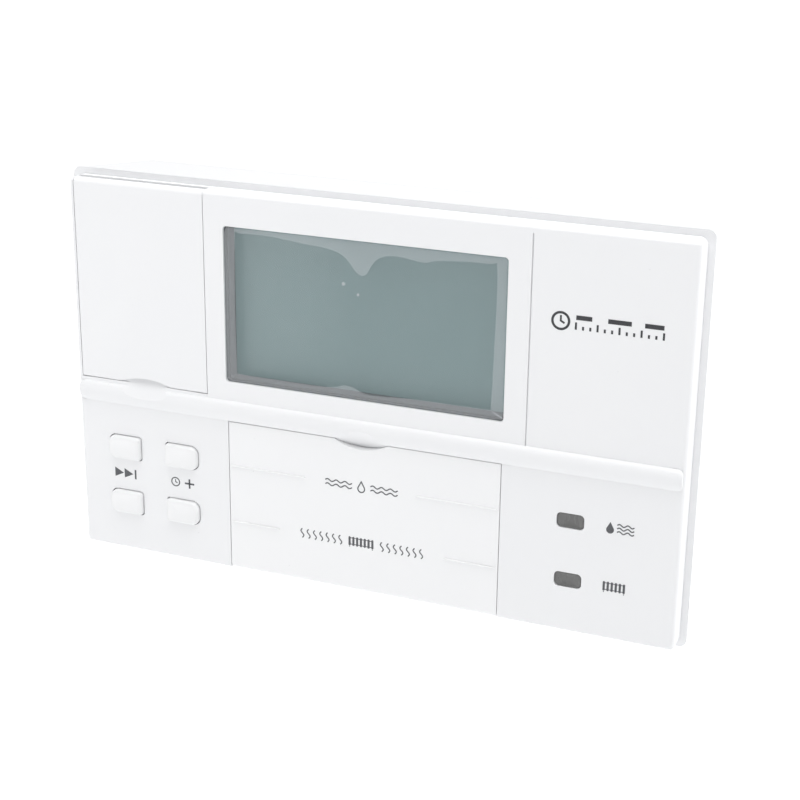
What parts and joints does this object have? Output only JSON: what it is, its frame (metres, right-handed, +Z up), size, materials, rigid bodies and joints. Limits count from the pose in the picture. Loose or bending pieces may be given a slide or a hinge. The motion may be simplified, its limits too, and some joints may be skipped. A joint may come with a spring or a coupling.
{
  "type": "programmable timer",
  "caption": "Wall-mounted heating and hot water programmer with display, hinged covers, push buttons and a plug-on wallplate.",
  "frame": {"origin": "middle of the back, on the wall", "axes": "+X to the right as seen from the front, +Y into the wall, +Z up"},
  "size_m": [0.145, 0.0312, 0.09],
  "materials": {
    "white_shell": "fine satin moulding texture",
    "white_button": "smooth satin",
    "clear_lens": "clear and polished",
    "clear_film": "thin clear film",
    "grey_holder": "matte",
    "lcd": "grey reflective liquid crystal",
    "elastomer": "matte",
    "smoked_window": "polished",
    "lamp_red": "polished",
    "board": "satin solder mask",
    "black_plastic": "matte",
    "steel": "plated",
    "brass": "plain",
    "relay_blue": "smooth",
    "capacitor_yellow": "smooth",
    "capacitor_sleeve": "shrunk sleeve",
    "varistor_blue": "dipped lacquer",
    "fuse_brown": "smooth",
    "wallplate_plastic": "matte"
  },
  "bodies": {
    "casing": {"front_cover": "white_shell", "rear_casing": "white_shell", "display_lens": "clear_lens", "protective_film": "clear_film", "lcd_frame": "grey_holder", "lcd_glass": "lcd", "zebra_strips": "elastomer", "indicator_windows": "smoked_window", "indicator_leds": "lamp_red", "front_board": "board", "front_switches": "black_plastic", "key_switches": "black_plastic", "mode_switch": "black_plastic", "selector_switches": "black_plastic", "processor": "black_plastic", "crystal": "steel", "board_link": "black_plastic", "main_board": "board", "relays": "relay_blue", "dropper_capacitor": "capacitor_yellow", "smoothing_capacitors": "capacitor_sleeve", "surge_varistor": "varistor_blue", "fuse_link": "fuse_brown", "backup_cell": "steel", "cell_clip": "steel", "plug_blades": "brass", "casing_screws": "steel", "wallplate": "wallplate_plastic", "terminal_block": "black_plastic", "terminal_clamps": "brass", "terminal_screws": "steel", "earth_terminal": "brass", "cable_clamp": "wallplate_plastic", "cable_clamp_screws": "steel", "lock_screws": "steel"},
    "door": {"programming_door": "white_shell"},
    "flap": {"selector_flap": "white_shell"},
    "button_water_advance": {"button_water_advance": "white_button"},
    "button_water_extend": {"button_water_extend": "white_button"},
    "button_heating_advance": {"button_heating_advance": "white_button"},
    "button_heating_extend": {"button_heating_extend": "white_button"},
    "key_up": {"key_up": "white_button"},
    "key_down": {"key_down": "white_button"},
    "key_next": {"key_next": "white_button"},
    "key_copy": {"key_copy": "white_button"},
    "mode_slider": {"mode_slider": "white_button"},
    "water_selector": {"water_selector": "white_button"},
    "heating_selector": {"heating_selector": "white_button"}
  },
  "joints": [
    {"name": "door_hinge", "type": "hinge", "parent": "casing", "child": "door", "pos_m": [-0.05375, -0.02875, 0.0423], "axis": [-1, 0, 0], "range_deg": [0, 110]},
    {"name": "flap_hinge", "type": "hinge", "parent": "casing", "child": "flap", "pos_m": [-0.0004, -0.0285, -0.04275], "axis": [1, 0, 0], "range_deg": [0, 110]},
    {"name": "button_water_advance_press", "type": "slide", "parent": "casing", "child": "button_water_advance", "axis": [0, 1, 0], "range_m": [0, 0.0005], "stiffness_N_per_m": 300, "springref_m": -0.001},
    {"name": "button_water_extend_press", "type": "slide", "parent": "casing", "child": "button_water_extend", "axis": [0, 1, 0], "range_m": [0, 0.0005], "stiffness_N_per_m": 300, "springref_m": -0.001},
    {"name": "button_heating_advance_press", "type": "slide", "parent": "casing", "child": "button_heating_advance", "axis": [0, 1, 0], "range_m": [0, 0.0005], "stiffness_N_per_m": 300, "springref_m": -0.001},
    {"name": "button_heating_extend_press", "type": "slide", "parent": "casing", "child": "button_heating_extend", "axis": [0, 1, 0], "range_m": [0, 0.0005], "stiffness_N_per_m": 300, "springref_m": -0.001},
    {"name": "key_up_press", "type": "slide", "parent": "casing", "child": "key_up", "axis": [0, 1, 0], "range_m": [0, 0.0005], "stiffness_N_per_m": 300, "springref_m": -0.001},
    {"name": "key_down_press", "type": "slide", "parent": "casing", "child": "key_down", "axis": [0, 1, 0], "range_m": [0, 0.0005], "stiffness_N_per_m": 300, "springref_m": -0.001},
    {"name": "key_next_press", "type": "slide", "parent": "casing", "child": "key_next", "axis": [0, 1, 0], "range_m": [0, 0.0005], "stiffness_N_per_m": 300, "springref_m": -0.001},
    {"name": "key_copy_press", "type": "slide", "parent": "casing", "child": "key_copy", "axis": [0, 1, 0], "range_m": [0, 0.0005], "stiffness_N_per_m": 300, "springref_m": -0.001},
    {"name": "mode_slider_slide", "type": "slide", "parent": "casing", "child": "mode_slider", "axis": [1, 0, 0], "range_m": [0, 0.008]},
    {"name": "water_selector_slide", "type": "slide", "parent": "casing", "child": "water_selector", "axis": [1, 0, 0], "range_m": [0, 0.012]},
    {"name": "heating_selector_slide", "type": "slide", "parent": "casing", "child": "heating_selector", "axis": [1, 0, 0], "range_m": [0, 0.012]}
  ]
}
